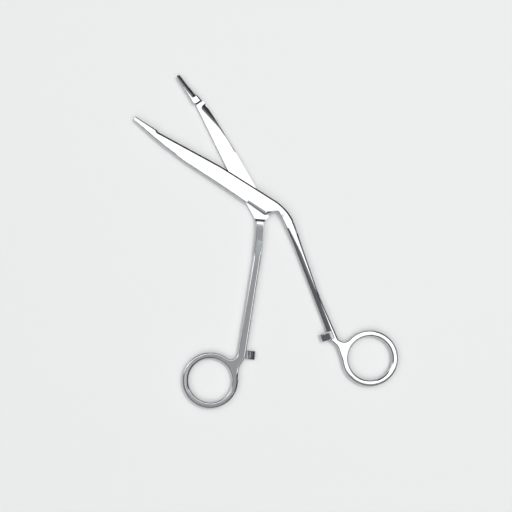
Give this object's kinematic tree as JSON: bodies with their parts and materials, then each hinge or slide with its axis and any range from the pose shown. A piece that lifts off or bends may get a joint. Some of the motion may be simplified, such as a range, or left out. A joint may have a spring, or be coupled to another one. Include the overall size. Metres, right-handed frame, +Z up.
{
  "type": "hemostat forceps",
  "caption": "Angled ring-handled forceps with serrated jaws, a screw lap joint and ratchet lugs, lying open.",
  "frame": {"origin": "on the pivot axis, at the underside of the joint", "axes": "+Y from the rings to the joint, midway between the handles; +Z up out of the joint; the jaws point towards -X and +Y"},
  "size_m": [0.1173, 0.1677, 0.005],
  "materials": {
    "polished_steel": "polished to satin stainless steel",
    "screw_steel": "turned stainless steel"
  },
  "bodies": {
    "lower": {"lower_half": "polished_steel"},
    "upper": {"upper_half": "polished_steel", "pivot_screw": "screw_steel"}
  },
  "joints": [
    {"name": "jaw_pivot", "type": "hinge", "parent": "lower", "child": "upper", "pos_m": [0, 0, 0.0025], "axis": [0, 0, 1], "range_deg": [-24.4, 35.4]}
  ]
}
